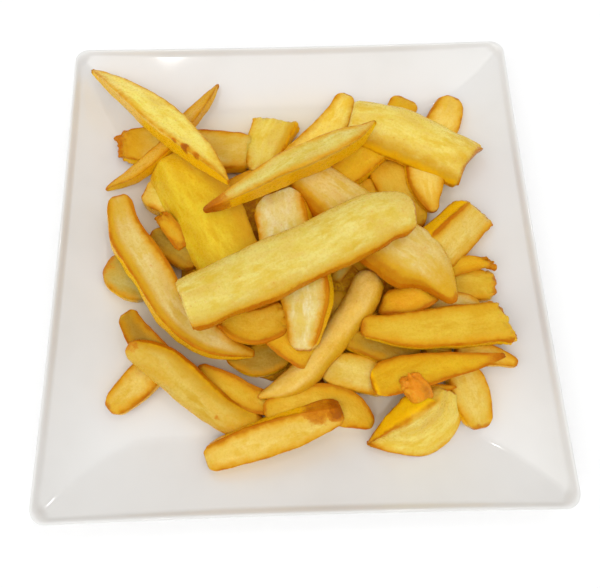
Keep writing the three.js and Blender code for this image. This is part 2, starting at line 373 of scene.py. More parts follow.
@dataclass
class Plate:
    """Shallow square plate: rolled rim, hollow walls, creased corners and a square foot."""

    side: float = 220 * MM
    bow: float = 0.8 * MM
    corner: float = 6.5 * MM
    rim_height: float = 20 * MM
    edge: float = 3 * MM
    floor_height: float = 5.5 * MM
    thickness: float = 4 * MM
    side_dish_start: float = 60 * MM
    side_dish_power: float = 2.6
    end_dish_start: float = 78 * MM
    end_dish_power: float = 1.3
    end_dish_onset: float = 0.12
    crease_width: float = 0.35 * MM
    lip: float = 2.2 * MM
    rounding: float = 0.8 * MM
    flat_margin: float = 2 * MM
    under_margin: float = 3 * MM
    corner_steps: int = 8
    side_cuts: int = 150
    wall_rings: int = 60
    under_rings: int = 16
    foot_outer: float = 68 * MM
    foot_inner: float = 62 * MM
    foot_height: float = 1.5 * MM
    foot_flare: float = 1.5 * MM
    foot_bevel: float = 0.4 * MM

    def dish(self, x: np.ndarray, y: np.ndarray) -> np.ndarray:
        """Height of the upper surface above the table.

        Args:
            x: Distances to the right of the middle.
            y: Distances to the back of the middle.

        Returns:
            Heights, with narrow creases where two walls meet.
        """
        half = self.side / 2
        rise = self.rim_height - self.floor_height
        share = np.clip((np.abs(x) - self.side_dish_start) / (half - self.side_dish_start), 0.0, None)
        side = rise * share ** self.side_dish_power
        share = np.clip((np.abs(y) - self.end_dish_start) / (half - self.end_dish_start), 0.0, None)
        onset = ((share + self.end_dish_onset) / (1 + self.end_dish_onset)) ** (2 - self.end_dish_power)
        end = rise * share ** 2 / onset
        blend = np.sqrt((side - end) ** 2 + self.crease_width ** 2)
        return self.floor_height + 0.5 * (side + end + blend - self.crease_width)

    def _outline(self) -> Object:
        """Square wire with rounded corners and slightly hollow sides, at the rim's size."""
        deselect()
        bpy.ops.mesh.primitive_circle_add(
            vertices=4, radius=self.side / math.sqrt(2), fill_type="NOTHING", rotation=(0, 0, math.pi / 4))
        wire = bpy.context.object
        wire.name = "porcelain_plate"
        bpy.ops.object.transform_apply(location=False, rotation=True, scale=True)
        enter_mode("EDIT")
        bpy.ops.mesh.select_all(action="SELECT")
        bpy.ops.mesh.bevel(offset=self.corner, segments=self.corner_steps, affect="VERTICES")
        bpy.ops.mesh.select_mode(type="EDGE")
        bpy.ops.mesh.select_all(action="DESELECT")
        enter_mode("OBJECT")
        points = wire.data.vertices
        for edge in wire.data.edges:
            start, end = (points[index].co for index in edge.vertices)
            edge.select = (start - end).length > self.side / 2
        enter_mode("EDIT")
        bpy.ops.mesh.subdivide(number_cuts=self.side_cuts)
        enter_mode("OBJECT")
        straight = self.side / 2 - self.corner
        for point in points:
            for axis, other in ((0, 1), (1, 0)):
                if abs(point.co[other]) < straight:
                    hollow = self.bow * (1 - (point.co[other] / straight) ** 2)
                    point.co[axis] -= math.copysign(hollow, point.co[axis])
        return wire

    def _profile(self) -> list[tuple[float, float | None, str]]:
        """Rings from the middle of the floor over the rim to the middle of the foot.

        Returns:
            For each ring its half width, its height or None, and the surface that gives the height.
        """
        half = self.side / 2
        crest = half - self.rounding
        rings: list[tuple[float, float | None, str]] = []
        inner = self.side_dish_start - self.flat_margin
        wall = crest - self.lip - inner
        for step in range(self.wall_rings):
            rings.append((inner + wall * step / (self.wall_rings - 1), None, "dish"))
        foot_of_lip = float(self.dish(np.array(0.0), np.array(crest - self.lip)))
        for share in (0.25, 0.5, 0.75):
            swell = 0.5 - 0.5 * math.cos(math.pi * share)
            height = foot_of_lip + (self.rim_height - foot_of_lip) * swell
            rings.append((crest - self.lip * (1 - share), height, "level"))
        rings.append((crest, self.rim_height, "level"))
        for share in (0.35, 0.7, 1.0):
            angle = share * math.pi / 2
            height = self.rim_height - self.rounding * (1 - math.cos(angle))
            rings.append((crest + self.rounding * math.sin(angle), height, "level"))
        for share in (0.0, 0.35, 0.7, 1.0):
            angle = share * math.pi / 2
            height = self.rim_height - self.edge + self.rounding * (1 - math.sin(angle))
            rings.append((half - self.rounding * (1 - math.cos(angle)), height, "level"))
        outer = half - self.under_margin
        foot = self.foot_outer + self.foot_flare
        for step in range(self.under_rings):
            rings.append((outer + (foot - outer) * step / (self.under_rings - 1), None, "under"))
        rings += [
            (self.foot_outer + self.foot_bevel, self.foot_bevel, "level"), (self.foot_outer, 0.0, "level"),
            (self.foot_inner, 0.0, "level"), (self.foot_inner - self.foot_bevel, self.foot_bevel, "level"),
            (self.foot_inner - self.foot_flare, self.foot_height, "level"),
        ]
        return rings

    def build(self) -> Object:
        """Draws the outline out ring by ring and closes it at the floor and under the foot."""
        plate = self._outline()
        half = self.side / 2
        rings = self._profile()
        only(plate)
        enter_mode("EDIT")
        bpy.ops.mesh.select_all(action="SELECT")
        first = rings[0][0] / half
        bpy.ops.transform.resize(value=(first, first, 1.0))
        bpy.ops.mesh.select_mode(type="EDGE")
        count = len(plate.data.vertices)
        for before, after in zip(rings, rings[1:]):
            bpy.ops.mesh.extrude_edges_move()
            bpy.ops.transform.resize(value=(after[0] / before[0], after[0] / before[0], 1.0))
        bpy.ops.mesh.edge_face_add()
        enter_mode("OBJECT")
        self._raise(plate, rings, count)
        only(plate)
        enter_mode("EDIT")
        bpy.ops.mesh.select_mode(type="VERT")
        bpy.ops.mesh.select_all(action="DESELECT")
        enter_mode("OBJECT")
        for index, point in enumerate(plate.data.vertices):
            point.select = index < count
        enter_mode("EDIT")
        bpy.ops.mesh.edge_face_add()
        bpy.ops.mesh.select_all(action="SELECT")
        bpy.ops.mesh.normals_make_consistent(inside=False)
        enter_mode("OBJECT")
        bpy.ops.object.shade_smooth()
        return plate

    def _raise(self, plate: Object, rings: Sequence[tuple[float, float | None, str]],
               count: int) -> None:
        """Lifts each ring to its height.

        Args:
            plate: Flat mesh whose vertices lie ring after ring.
            rings: The profile.
            count: Vertices in a ring.
        """
        places = np.empty(len(plate.data.vertices) * 3)
        plate.data.vertices.foreach_get("co", places)
        places = places.reshape(-1, 3)
        for index, (_, height, surface) in enumerate(rings):
            ring = places[index * count:(index + 1) * count]
            if surface == "level":
                ring[:, 2] = height
            else:
                ring[:, 2] = self.dish(ring[:, 0], ring[:, 1])
                if surface == "under":
                    ring[:, 2] -= self.thickness
        plate.data.vertices.foreach_set("co", places.ravel())
        plate.data.update()

    def dress(self, plate: Object) -> None:
        """Gives the plate its glaze and its place in the frame."""
        plate.data.materials.append(Porcelain().build())
        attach(plate, BODY)
        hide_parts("plate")


# ------------------------------------------------------------------ the fries


class Cut(Enum):
    """Kinds of section, which are also the pieces that the fries are joined into.

    A baton is square and a slab flat with well-rounded sides. A wedge has one flat cut face over a
    rounded keel, a dome a rounded top and a roof a blunt crest over a flat cut face.
    """

    BATON = "fries_batons"
    SLAB = "fries_slabs"
    WEDGE = "fries_wedges"
    DOME = "fries_domes"
    ROOF = "fries_ridged"


@dataclass(frozen=True)
class Section:
    """Unit section of a cut.

    Ridges are its sharp edges, as shares of half the width and half the depth. The golden flank
    sets in between the two shares of flank_wide outwards, and of flank_high downwards.
    """

    ridges: tuple[tuple[float, float], ...]
    rounding: float
    flank_wide: tuple[float, float]
    flank_high: tuple[float, float] = (-9.0, -8.0)

    def flank(self, across: np.ndarray, up: np.ndarray) -> np.ndarray:
        """How golden the flanks are at places of the section."""
        wide = smoothstep(*self.flank_wide, np.abs(across))
        high = 1.0 - smoothstep(*self.flank_high, up)
        return np.maximum(wide, high)

    def edge(self, y: np.ndarray, z: np.ndarray, half_width: np.ndarray, half_depth: np.ndarray,
             rim: tuple[float, float]) -> np.ndarray:
        """Distance from places of the section to the nearest ridge, less the rim on its side."""
        gaps = [
            np.hypot(y - across * half_width, z - up * half_depth) - rim[across < 0] * MM
            for across, up in self.ridges
        ]
        return np.min(gaps, axis=0)


SECTIONS = {
    Cut.BATON: Section(((1, 1), (-1, 1), (1, -1), (-1, -1)), 0.07, (0.86, 0.97)),
    Cut.SLAB: Section(((1, 0.9), (-1, 0.9), (1, -0.9), (-1, -0.9)), 0.15, (0.86, 0.97)),
    Cut.WEDGE: Section(((1, 1), (-1, 1)), 0.1, (8.0, 9.0), (0.55, 0.85)),
    Cut.ROOF: Section(((1, -1), (-1, -1)), 0.2, (8.0, 9.0)),
    Cut.DOME: Section(((1, -0.25), (-1, -0.25)), 0.0, (0.7, 1.0)),
}


class Tone(Enum):
    """Colour of a fry's cut face. The two dimmest tones are painted shade, for fries that lie in the
    heap's shade.
    """

    PALE = (0.74, 0.58, 0.13)
    CREAM = (0.77, 0.58, 0.17)
    MILK = (0.82, 0.67, 0.25)
    YELLOW = (0.92, 0.73, 0.12)
    BUTTER = (0.85, 0.62, 0.11)
    LEMON = (0.79, 0.53, 0.02)
    TAN = (0.77, 0.53, 0.095)
    HONEY = (0.74, 0.45, 0.028)
    OCHRE = (0.70, 0.47, 0.065)
    GOLD = (0.80, 0.44, 0.01)
    DULL = (0.58, 0.42, 0.08)
    SHADE = (0.48, 0.27, 0.02)
    RUST = (0.76, 0.28, 0.01)


# How far fries of the two dimmest tones are dimmed all over, as further painted shade.
PAINTED_SHADE_TONES = {Tone.DULL: 0.92, Tone.SHADE: 0.8}

TAPER_POWER = 0.65       # how fast a narrowing fry gets thinner
LEAST_TAPER = 0.06       # share of its width below which it doesn't any more
LEAST_WIDTH = 0.8        # narrowest that a fry counts as, in millimetres
LEAST_END = 1.5          # narrowest width that a rounded end is rounded for
SQUARE_END = 1.6         # length of a square-cut end's rounding
TORN_REACH = 8 * MM      # how far from its end a torn fry is torn
END_STEPS = (0.7, 0.4, 0.12, 0.0)  # places of the rings on a rounded end, as shares of its reach
END_FULLNESS = 0.92      # how far round a rounded end goes before it is closed
BLUNT_WIDTH = 0.95       # share of its width that a square-cut end keeps
END_DEPTH = 0.45         # share of its depth that an end keeps

# Least and most by which the rings of a fry, and the colours of fries, vary.
WIDTH_SPREAD = (0.965, 1.035)
DEPTH_SPREAD = (0.95, 1.05)
TINT_SPREAD = (0.96, 1.04)


@dataclass
class Fry:
    """One fry, modelled straight along X and then bent along its spine.

    The spine and the sizes are in millimetres. Widths are spread evenly from end to end, depth is
    the most that it reaches, and roll turns it about its spine, in degrees, and may change along
    it. Browning is how browned it is towards its start, end, left and right, flank how golden the
    sides of its section are, rim how much wider the orange edges are on its left and right, and
    scorch how burnt its ends are. Spots are burnt places: share of the length, share of half the
    width to the left, radius and strength. Of the ends, blunt is how square they are cut, slant how
    far the left side reaches along the fry beyond the middle, notch how far they are hollowed, and
    ragged how torn they are. Belly is how far the top swells, or sags if it is negative, and step
    how far apart the rings along the fry are.
    """

    name: str
    tone: Tone
    spine: Sequence[Point]
    widths: Sequence[float]
    depth: float
    roll: float | tuple[float, ...] = 0.0
    cut: Cut = Cut.BATON
    browning: tuple[float, float, float, float] = (0.4, 0.4, 0.0, 0.0)
    scorch: tuple[float, float] = (0.0, 0.0)
    spots: tuple[tuple[float, float, float, float], ...] = ()
    rim: tuple[float, float] = (0.0, 0.0)
    blunt: tuple[float, float] = (0.1, 0.1)
    slant: tuple[float, float] = (0.0, 0.0)
    notch: tuple[float, float] = (0.0, 0.0)
    ragged: tuple[float, float] = (0.0, 0.0)
    belly: float = 0.0
    flank: float = 0.9
    step: float = field(default=5.0, repr=False)

    def _curve(self) -> Object:
        """Smooth curve through the spine's points."""
        shape = bpy.data.curves.new(f"{self.name}_spine", "CURVE")
        shape.dimensions = "3D"
        shape.resolution_u = 24
        shape.twist_mode = "Z_UP"
        line = shape.splines.new("BEZIER")
        line.bezier_points.add(len(self.spine) - 1)
        for knot, place in zip(line.bezier_points, self.spine):
            knot.co = Vector(place) * MM
            knot.handle_left_type = knot.handle_right_type = "AUTO"
        curve = bpy.data.objects.new(shape.name, shape)
        bpy.context.collection.objects.link(curve)
        bpy.context.view_layer.update()
        return curve

    def _section(self) -> Object:
        """Start face of the fry at X = 0, one unit wide and one unit deep."""
        corners = {Cut.WEDGE: 3, Cut.ROOF: 3, Cut.DOME: 16}.get(self.cut, 4)
        deselect()
        bpy.ops.mesh.primitive_circle_add(
            vertices=corners, radius=0.5, fill_type="NGON", rotation=(math.pi / 2, 0, math.pi / 2))
        piece = bpy.context.object
        piece.name = self.name
        bpy.ops.object.transform_apply(location=True, rotation=True, scale=True)
        enter_mode("EDIT")
        bpy.ops.mesh.select_all(action="SELECT")
        middle = (0.0, 0.0, 0.0)
        if self.cut is Cut.DOME:
            self._select_points(piece, lambda place: place.z < -0.01)
            bpy.ops.transform.resize(value=(1.0, 1.0, 0.4), center_override=middle)
            bpy.ops.mesh.select_all(action="SELECT")
            bpy.ops.transform.translate(value=(0.0, 0.0, -0.15))
            bpy.ops.transform.resize(value=(1.0, 1.0, 1 / 0.7), center_override=middle)
        else:
            turn = {Cut.WEDGE: math.pi, Cut.ROOF: 0.0}.get(self.cut, math.pi / 4)
            bpy.ops.transform.rotate(value=turn, orient_axis="X", center_override=middle)
            rounding = SECTIONS[self.cut].rounding
            bpy.ops.mesh.bevel(offset=rounding, segments=2, affect="VERTICES", profile=0.6)
            enter_mode("OBJECT")
            points = piece.data.vertices
            for edge in piece.data.edges:
                start, end = (points[index].co for index in edge.vertices)
                edge.select = (start - end).length > 2.5 * rounding
            enter_mode("EDIT")
            bpy.ops.mesh.select_mode(type="EDGE")
            bpy.ops.mesh.subdivide(number_cuts=1)
        bpy.ops.mesh.select_mode(type="VERT")
        enter_mode("OBJECT")
        places = np.array([point.co for point in piece.data.vertices])
        low, high = places.min(axis=0), places.max(axis=0)
        places[:, 1:] = (places[:, 1:] - (low + high)[1:] / 2) / (high - low)[1:]
        piece.data.vertices.foreach_set("co", places.ravel())
        return piece

    @staticmethod
    def _select_points(piece: Object, test: Callable[[Vector], bool]) -> None:
        """Selects, in edit mode, the vertices whose places pass a test."""
        bpy.ops.mesh.select_mode(type="VERT")
        bpy.ops.mesh.select_all(action="DESELECT")
        enter_mode("OBJECT")
        for point in piece.data.vertices:
            point.select = test(point.co)
        enter_mode("EDIT")

    def build(self) -> Object:
        """Models, bends and places the fry, and paints its attributes."""
        curve = self._curve()
        length = curve.data.splines[0].calc_length()
        piece = self._section()
        self._draw_out(piece, length)
        apply_modifier(piece, "SUBSURF", levels=2, render_levels=2)
        self._shape_and_paint(piece, length)
        apply_modifier(piece, "CURVE", object=curve, deform_axis="POS_X")
        bpy.data.objects.remove(curve)
        return piece

    def _depth_share(self, width: float | np.ndarray) -> float | np.ndarray:
        """Share of the full depth that the fry has where it has a width."""
        return np.maximum(width / max(self.widths), LEAST_TAPER) ** TAPER_POWER

    def _stations(self, length: float) -> list[tuple[float, float, float]]:
        """Places along the fry, and the shares of its width and depth that it has there."""
        rounds = []
        for blunt, width in zip(self.blunt, (self.widths[0], self.widths[-1])):
            rounds.append((0.5 * max(width, LEAST_END) * (1 - blunt) + SQUARE_END * blunt) * MM)
        start, end = rounds
        count = max(3, round((length - start - end) / (self.step * MM)))
        inner = [(start + (length - start - end) * k / count, 1.0, 1.0) for k in range(count + 1)]
        stations = [*inner]
        for turned in END_STEPS:
            arc = math.sqrt(1 - (END_FULLNESS * (1 - turned)) ** 2)
            wide = [arc + (BLUNT_WIDTH - arc) * blunt * (1 - turned) for blunt in self.blunt]
            deep = END_DEPTH + (1 - END_DEPTH) * math.sqrt(turned)
            stations.insert(0, (start * turned, wide[0], deep))
            stations.append((length - end * turned, wide[1], deep))
        return stations

    def _draw_out(self, piece: Object, length: float) -> None:
        """Extrudes the start face along X, station by station.

        Args:
            piece: The section, which becomes the straight fry.
            length: Length of the fry.
        """
        chance = random.Random(f"{SEED}{self.name}")
        sizes = []
        for place, wide_share, deep_share in self._stations(length):
            width = float(spread(self.widths, place / length))
            depth = self.depth * float(self._depth_share(width))
            wide = width * wide_share * chance.uniform(*WIDTH_SPREAD) * MM
            deep = depth * deep_share * chance.uniform(*DEPTH_SPREAD) * MM
            sizes.append((place, wide, deep))
        only(piece)
        enter_mode("EDIT")
        bpy.ops.mesh.select_all(action="SELECT")
        bpy.ops.transform.resize(value=(1.0, *sizes[0][1:]), center_override=(0.0, 0.0, 0.0))
        for (before, wide, deep), (after, next_wide, next_deep) in zip(sizes, sizes[1:]):
            step = (after - before, 0.0, 0.0)
            bpy.ops.mesh.extrude_region_move(TRANSFORM_OT_translate={"value": step})
            bpy.ops.transform.resize(
                value=(1.0, next_wide / wide, next_deep / deep), center_override=(after, 0.0, 0.0))
        bpy.ops.mesh.select_all(action="SELECT")
        bpy.ops.mesh.normals_make_consistent(inside=False)
        enter_mode("OBJECT")

    def _shape_and_paint(self, piece: Object, length: float) -> None:
        """Gives the straight fry its colours, belly, cut ends, twist and torn ends.

        Args:
            piece: Straight fry.
            length: Its length.
        """
        mesh = piece.data
        places = np.empty(len(mesh.vertices) * 3)
        mesh.vertices.foreach_get("co", places)
        x, y, z = places.reshape(-1, 3).T.copy()
        share = np.clip(x / length, 0.0, 1.0)
        widths = np.maximum(spread(self.widths, share), LEAST_WIDTH)
        fibre = np.stack([x / FIBRE_STRETCH + self.spine[0][0], y + self.spine[0][1], z], axis=1)
        mesh.attributes.new("fibre", "FLOAT_VECTOR", "POINT").data.foreach_set("vector", fibre.ravel())
        half_width = widths * MM / 2
        half_depth = self.depth * self._depth_share(widths) * MM / 2
        across = np.clip(y / half_width, -1.0, 1.0)
        up = np.clip(z / half_depth, -1.0, 1.0)
        near = np.stack([smoothstep(0.3, 0.0, share), smoothstep(0.7, 1.0, share)])

        chance = random.Random(f"{SEED}{self.name}colour")
        tint = [value * chance.uniform(*TINT_SPREAD) for value in self.tone.value]
        self.store(mesh, "flesh", "FLOAT_COLOR", "color", np.tile([*tint, 1.0], len(x)))
        # Painted shade: fries of the two dimmest tones carry a factor that dims them all over.
        self.store(mesh, "painted_shade", "FLOAT", "value", np.full(len(x), PAINTED_SHADE_TONES.get(self.tone, 1.0)))
        edge = SECTIONS[self.cut].edge(y, z, half_width, half_depth, self.rim)
        self.store(mesh, "edge", "FLOAT", "value", edge / MM)
        bare = [1 / max(value, 0.1) for value in self.browning]
        tip = 0.4 * np.minimum(x * bare[0], (length - x) * bare[1]) / MM
        self.store(mesh, "tip", "FLOAT", "value", tip)
        golden = SECTIONS[self.cut].flank(across, up) * self.flank
        self.store(mesh, "golden", "FLOAT", "value", golden)
        self.store(mesh, "browned", "FLOAT", "value", self._browned(share, across))
        self.store(mesh, "scorch", "FLOAT", "value", self._scorch(x, y, half_width, length))

        hollow = np.clip(1 - across ** 2, 0.0, 1.0)
        z += self.belly * MM * hollow * smoothstep(0.0, 0.8, up)
        x += MM * hollow * (self.notch[0] * near[0] - self.notch[1] * near[1])
        x += MM * across * (self.slant[0] * near[0] + self.slant[1] * near[1])
        rolls = self.roll if isinstance(self.roll, tuple) else (self.roll, self.roll)
        angle = -np.radians(spread(rolls, share))
        sine, cosine = np.sin(angle), np.cos(angle)
        turned = np.stack([x, y * cosine - z * sine, y * sine + z * cosine], axis=1)
        mesh.vertices.foreach_set("co", turned.ravel())
        torn = piece.vertex_groups.new(name="torn")
        weights = np.maximum(self.ragged[0] * smoothstep(TORN_REACH, 0.0, x),
                             self.ragged[1] * smoothstep(length - TORN_REACH, length, x))
        for index in np.flatnonzero(weights > 0.01):
            torn.add([int(index)], float(weights[index]), "REPLACE")

    def _browned(self, share: np.ndarray, across: np.ndarray) -> np.ndarray:
        """How browned the fry is at places given along and across it."""
        sides = [smoothstep(0.4, 0.0, share), smoothstep(0.6, 1.0, share),
                 smoothstep(0.15, 1.0, across), smoothstep(0.15, 1.0, -across)]
        return np.max(np.stack(sides) * np.array(self.browning)[:, None], axis=0)

    def _scorch(self, x: np.ndarray, y: np.ndarray, half_width: np.ndarray,
                length: float) -> np.ndarray:
        """How burnt the fry is at places along and across it."""
        share = x / length
        burnt = np.maximum(self.scorch[0] * smoothstep(0.2, 0.0, share),
                           self.scorch[1] * smoothstep(0.8, 1.0, share))
        for along, side, radius, strength in self.spots:
            gap = np.hypot(x - along * length, y - side * half_width) / MM
            burnt = np.maximum(burnt, strength * smoothstep(1.3 * radius, 0.4 * radius, gap))
        return burnt

    @staticmethod
    def store(mesh: Mesh, name: str, kind: str, key: str, values: np.ndarray) -> None:
        """Writes one attribute to all vertices of a mesh."""
        mesh.attributes.new(name, kind, "POINT").data.foreach_set(key, values.astype(np.float32))


baton = partial(Fry, cut=Cut.BATON)
slab = partial(Fry, cut=Cut.SLAB)
wedge = partial(Fry, cut=Cut.WEDGE)
dome = partial(Fry, cut=Cut.DOME)
roof = partial(Fry, cut=Cut.ROOF)


FLOOR_FRIES = [
    slab("orange_slab", Tone.TAN, [(-87, 58, 13), (-71, 58, 12), (-51, 55, 12), (-20, 54, 11)],
         (14, 23, 23, 22, 19), 9, browning=(1.2, 0.35, 0.4, 0.2), ragged=(1.0, 0.3), blunt=(0.2, 0.5),
         rim=(1.0, 0.4)),
    slab("rear_chunk", Tone.BUTTER, [(-8, 71, 11), (-13, 57, 12), (-16, 41, 15)],
         (24, 21, 14), 9, -10, browning=(0.1, 0.2, 1.0, 0.0), ragged=(0.5, 0.5), belly=-1.5,
         blunt=(0.95, 0.4), slant=(-1, 0)),
    baton("left_stub", Tone.BUTTER, [(-73, 34, 12), (-60, 29, 11), (-46, 21, 11)], (15, 18, 15), 10),
    wedge("thin_brown", Tone.HONEY, [(-64, 20, 17), (-57, 11, 16), (-52, 3, 15)],
         (7, 9, 6), 8, browning=(1.3, 0.9, 0.9, 0.4), ragged=(0.8, 0.4), rim=(1.0, 0.6)),
    slab("shaded_left", Tone.SHADE, [(-69, 10, 14), (-58, 6, 13), (-45, -2, 12)],
         (11, 16, 16), 9, browning=(0.5, 0.9, 0.8, 0.8)),
    slab("left_end", Tone.DULL, [(-88, -3, 13), (-78, -8, 12), (-65, -14, 11)],
         (15, 22, 18), 10, browning=(0.6, 0.0, 0.3, 0.0), scorch=(0.7, 0.0)),
    slab("lower_left_stub", Tone.TAN, [(-83, -67, 12), (-74, -59, 11), (-62, -46, 11)],
         (10, 15, 14), 9, browning=(0.5, 0.2, 0.0, 0.3), rim=(0.3, 0.3)),
    wedge("curled_tip", Tone.SHADE, [(-77, -26, 16), (-69, -38, 16), (-53, -52, 15)],
         (9, 13, 10), 10, browning=(0.4, 0.3, 0.4, 0.2), rim=(0.6, 0.6)),
    wedge("gold_crescent", Tone.HONEY, [(-46, -51, 10), (-34, -58, 10), (-21, -65, 10), (-1, -69, 10)],
         (7, 12, 11, 8), 9, 8, browning=(0.9, 0.7, 0.8, 0.9), rim=(1.0, 1.0)),
    slab("pale_wedge", Tone.SHADE, [(-33, -45, 10), (-20, -48, 11), (-4, -44, 12)], (6, 15, 12), 9),
    wedge("front_gold", Tone.HONEY, [(-17, -69, 14), (1, -67, 14), (18, -69, 12), (30, -76, 10)],
         (8, 14, 17, 16, 5), 10, browning=(0.5, 0.5, 0.5, 0.3), rim=(0.8, 0.0)),
    slab("pale_block", Tone.TAN, [(9, -52, 14), (21, -54, 13), (40, -59, 11)], (14, 17, 14), 9),
    slab("under_right", Tone.SHADE, [(19, -40, 18), (37, -45, 15), (53, -50, 12)],
         (8, 13, 10), 9, browning=(0.8, 0.6, 0.6, 0.6), rim=(0.6, 0.6)),
    slab("right_front_slab", Tone.TAN, [(70, -52, 12), (73, -66, 11), (76, -79, 11)],
         (15, 18, 11), 9, browning=(0.3, 0.5, 0.3, 0.3)),
    slab("right_tip", Tone.BUTTER, [(68, -48, 14), (83, -49, 14), (94, -53, 16)], (9, 10, 4), 8),
    slab("right_block", Tone.HONEY, [(63, -16, 11), (79, -17, 12), (90, -18, 14)],
         (13, 16, 14), 9, browning=(0.3, 0.5, 0.4, 0.2), ragged=(0.0, 0.6), belly=-1.0),
    wedge("ragged_sliver", Tone.GOLD, [(68, -11, 15), (79, -8, 16), (89, -9, 17)],
         (7, 8, 4), 7, browning=(0.7, 0.9, 0.7, 0.3), ragged=(0.3, 1.0)),
    wedge("behind_bit", Tone.CREAM, [(55, -24, 13), (66, -25, 13), (81, -30, 14)], (9, 12, 12), 8),
    wedge("gold_under", Tone.GOLD, [(37, -25, 14), (47, -25, 17), (59, -21, 20)],
         (10, 13, 11), 9, browning=(0.7, 0.7, 0.4, 0.8), blunt=(0.8, 0.6), slant=(2, -2),
         rim=(0.4, 1.0)),
    wedge("inner_bit", Tone.DULL, [(26, 1, 15), (21, -7, 14), (17, -14, 12)], (8, 8, 5), 7),
    baton("shaded_baton", Tone.HONEY, [(42, 46, 11), (49, 30, 12), (57, 10, 13)],
         (17, 19, 15), 10, browning=(0.5, 0.8, 0.4, 0.4)),
    baton("rear_peg", Tone.GOLD, [(59, 81, 11), (47, 60, 14), (32, 44, 17), (18, 32, 19)],
         (14, 16, 15, 13), 9, browning=(0.6, 0.5, 0.3, 0.3)),
    slab("rear_right_slab", Tone.BUTTER,
         [(83, 82, 11), (78, 71, 11), (70, 55, 12), (63, 38, 16), (63, 24, 18), (65, 17, 18)],
         (12, 17, 19, 22, 17, 5), 9, browning=(0.4, 0.3, 0.0, 0.4), rim=(0.0, 0.6)),
    slab("rear_slab", Tone.YELLOW, [(29, 85, 12), (20, 66, 14), (-3, 40, 18)],
         (9, 16, 17, 16), 9, browning=(0.3, 0.1, 0.1, 0.3), belly=-1.5),
]

LEANING_FRIES = [
    wedge("left_sliver", Tone.HONEY,
         [(-91, 34, 14), (-77, 39, 17), (-62, 51, 19), (-49, 69, 18), (-42, 80, 17), (-37, 90, 16)],
         (1, 10, 10, 11, 8, 1), 8.4, 30, browning=(0.5, 0.8, 0.3, 0.3), rim=(0.0, -0.6)),
    baton("left_crescent", Tone.CREAM,
         [(-83, 28, 21), (-78, 10, 21), (-66, -9, 21), (-51, -31, 20), (-34, -42, 17), (-20, -46, 14)],
         (10, 16, 17, 16, 14, 3), 10, 14, browning=(0.5, 0.4, 0.4, 1.2), rim=(1.0, 0.2)),
    dome("lower_left_long", Tone.OCHRE,
         [(-74, -42, 23), (-60, -49, 20), (-46, -61, 16), (-31, -72, 13), (-17, -76, 11)],
         (9, 18, 17, 15, 12), 10, -20, browning=(0.4, 1.0, 0.8, 0.4), rim=(1.0, 0.0),
         spots=((0.71, -0.1, 1.2, 1.0), (0.03, 0.4, 3.0, 0.6))),
    slab("shell_slab", Tone.BUTTER,
         [(27, -84, 11), (37, -81, 14), (48, -77, 15), (58, -70, 16), (62, -63, 18)],
         (1, 17, 30, 29, 19), 14, -48, belly=-2.5, browning=(0.2, 0.2, 0.0, 0.2), rim=(0.5, 0.4)),
    dome("diagonal_tan", Tone.TAN,
         [(33, -11, 19), (28, -23, 20), (19, -35, 20), (9, -46, 20), (-2, -57, 18), (-19, -64, 15)],
         (16, 15, 14, 14, 14, 12, 2), 11, flank=0.3, browning=(0.3, 0.4, 1.2, 0.3)),
    baton("right_blocky", Tone.TAN, [(85, 18, 17), (73, 7, 19), (59, -5, 21)],
         (19, 21, 20), 11, 36, browning=(0.2, 0.4, 0.3, 0.6), ragged=(0.4, 0.0), blunt=(0.8, 0.5),
         slant=(-3.3, 0), rim=(0.9, 0.8)),
    wedge("gold_fold", Tone.GOLD, [(-21, -25, 18), (-7, -40, 20), (5, -51, 21)],
         (12, 15, 11), 9, browning=(0.5, 0.8, 0.4, 0.4), rim=(0.6, 0.6)),
    roof("wide_yellow", Tone.LEMON,
         [(-64, 46, 19), (-53, 32, 21), (-46, 22, 22), (-39, 9, 23), (-31, -6, 24), (-24, -19, 22)],
         (28, 35, 37, 35, 31, 22), 13, -16, browning=(0.2, 0.4, 1.0, 0.3), blunt=(0.4, 0.2)),
    slab("ragged_fold", Tone.HONEY, [(-35, -29, 20), (-21, -35, 22), (-4, -30, 22)],
         (10, 16, 14), 8, browning=(0.9, 0.7, 0.5, 1.0), ragged=(0.8, 0.8), belly=-1.5, rim=(0.8, 1.4)),
    slab("right_slab", Tone.HONEY, [(26, -36, 22), (43, -38, 22), (65, -37, 21), (90, -35, 20)],
         (9, 16, 18, 18), 10, browning=(0.6, 0.3, 0.7, 0.2), ragged=(0.0, 1.0), blunt=(0.2, 0.9),
         slant=(0, -3.5), rim=(0.5, 0.5)),
    wedge("curled_right", Tone.GOLD,
         [(30, -61, 18), (43, -58, 19), (59, -55, 20), (74, -53, 21), (87, -50, 22)],
         (15, 17, 13, 9, 2), 11, 20, browning=(0.3, 0.5, 0.3, 0.5), scorch=(0.0, 1.6), rim=(0.6, 0.6)),
    baton("front_baton", Tone.TAN, [(-41, -88, 12), (-23, -82, 14), (-1, -75, 17), (16, -70, 20)],
         (10, 14, 15, 14, 8), 11, (-4, -14, -36), browning=(0.2, 0.3, 0.0, 0.3), blunt=(0.3, 0.7),
         rim=(0.6, 0.0), spots=((0.84, 0.8, 6.0, 1.0), (0.97, 0.5, 4.5, 1.9))),
]

